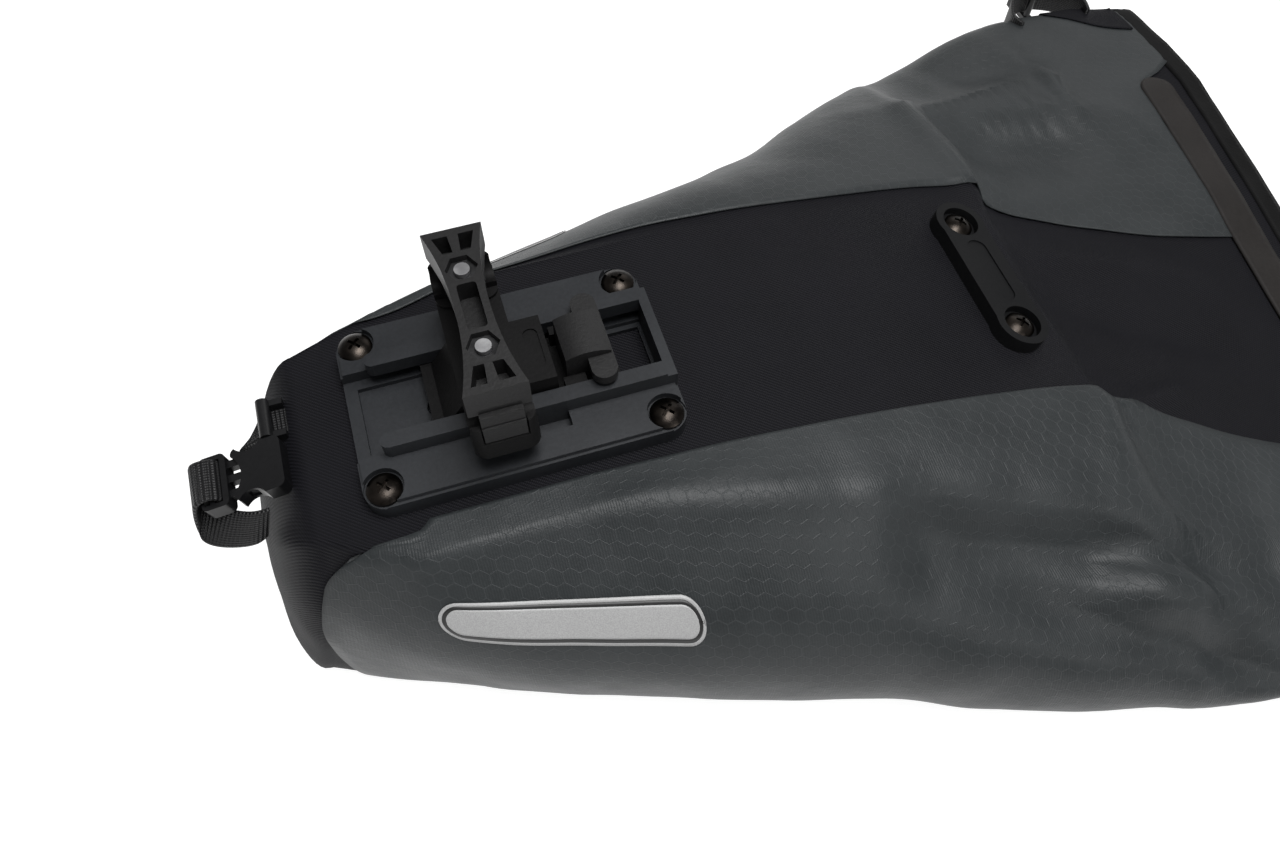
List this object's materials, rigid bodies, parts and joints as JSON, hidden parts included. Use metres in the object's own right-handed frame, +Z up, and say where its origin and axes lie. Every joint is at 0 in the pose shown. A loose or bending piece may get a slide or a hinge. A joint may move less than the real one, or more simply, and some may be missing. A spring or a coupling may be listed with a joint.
{
  "type": "saddle bag",
  "caption": "Tapered fabric saddle bag with a fold-down mouth, a slide-in rail clamp on a hard mounting plate, and a buckled nose strap.",
  "frame": {"origin": "on the resting plane, directly below the middle of the mounting plate", "axes": "+X from the nose to the mouth, +Y to the right side of the bag, +Z up out of the mounting plate"},
  "size_m": [0.395, 0.3661, 0.122],
  "materials": {
    "black_fabric": "tightly woven twill, dull sheen",
    "grey_fabric": "coated ripstop, soft sheen",
    "hem_fabric": "coated, satin",
    "board": "matte",
    "stiffener": "satin",
    "badge": "printed, satin",
    "webbing": "ribbed weave",
    "plate_plastic": "satin moulding",
    "adapter_plastic": "fine speckled grain",
    "buckle_plastic": "semi-gloss",
    "black_screw": "burnished black",
    "zinc_steel": "zinc plated",
    "bolt_steel": "bright"
  },
  "bodies": {
    "bag": {"nose_panel": "black_fabric", "top_panel": "black_fabric", "side_panel_left": "grey_fabric", "side_panel_right": "grey_fabric", "bottom_panel": "black_fabric", "top_board": "board", "side_badges": "badge", "mount_plate": "plate_plastic", "plate_screws": "black_screw", "plate_nuts": "zinc_steel", "anchor_bar": "plate_plastic", "anchor_screws": "black_screw", "anchor_nuts": "zinc_steel", "nose_keeper": "buckle_plastic", "nose_tab": "webbing", "buckle_female": "buckle_plastic"},
    "closure": {"closure_upper": "grey_fabric", "closure_lower": "grey_fabric", "mouth_hem": "hem_fabric", "stiffener_strip": "stiffener", "corner_patch_left": "black_fabric", "corner_patch_right": "black_fabric", "corner_loop_left": "webbing", "corner_loop_right": "webbing"},
    "corner_buckle_male": {"closure_buckle_male": "buckle_plastic"},
    "corner_buckle_female": {"closure_buckle_female": "buckle_plastic"},
    "adapter": {"adapter_body": "adapter_plastic", "latch_pin": "zinc_steel", "latch_spring": "zinc_steel"},
    "latch": {"release_latch": "adapter_plastic"},
    "bone": {"clamp_bone": "adapter_plastic", "clamp_nuts": "zinc_steel"},
    "bolt_left": {"clamp_bolt_left": "bolt_steel"},
    "bolt_right": {"clamp_bolt_right": "bolt_steel"},
    "strap_end": {"buckle_male": "buckle_plastic", "nose_strap": "webbing"}
  },
  "joints": [
    {"name": "adapter_slide", "type": "slide", "parent": "bag", "child": "adapter", "axis": [-1, 0, 0], "range_m": [0, 0.085]},
    {"name": "latch_lift", "type": "hinge", "parent": "adapter", "child": "latch", "pos_m": [0.017, 0, 0.0888], "axis": [0, -1, 0], "range_deg": [0, 15], "stiffness_Nm_per_rad": 0.05, "springref_deg": -8.59, "deforming": ["latch_spring"]},
    {"name": "bolt_left_turn", "type": "hinge", "parent": "adapter", "child": "bolt_left", "pos_m": [-0.0048, -0.012, 0.108], "axis": [0, 0, 1], "range_deg": [0, 1801]},
    {"name": "bolt_right_turn", "type": "hinge", "parent": "adapter", "child": "bolt_right", "pos_m": [-0.0048, 0.012, 0.108], "axis": [0, 0, 1], "range_deg": [0, 1801]},
    {"name": "clamp_lift", "type": "slide", "parent": "adapter", "child": "bone", "axis": [0, 0, 1], "range_m": [0, 0.0035]},
    {"name": "mouth_fold", "type": "hinge", "parent": "bag", "child": "closure", "pos_m": [0.248, 0, 0.0405], "axis": [0, -1, 0], "range_deg": [0, 150]},
    {"name": "corner_male_swing", "type": "hinge", "parent": "closure", "child": "corner_buckle_male", "pos_m": [0.268, 0.1611, 0.02925], "axis": [0, 0, 1], "range_deg": [-40, 40]},
    {"name": "corner_female_swing", "type": "hinge", "parent": "closure", "child": "corner_buckle_female", "pos_m": [0.268, -0.1611, 0.02925], "axis": [0, 0, 1], "range_deg": [-40, 40]},
    {"name": "buckle_release", "type": "slide", "parent": "bag", "child": "strap_end", "axis": [-0.9903, 0, -0.1392], "range_m": [0, 0.012]}
  ],
  "couplings": [
    {"joint": "bolt_left_turn", "follows": "clamp_lift", "rad_per_m": 8976},
    {"joint": "bolt_right_turn", "follows": "clamp_lift", "rad_per_m": 8976}
  ]
}
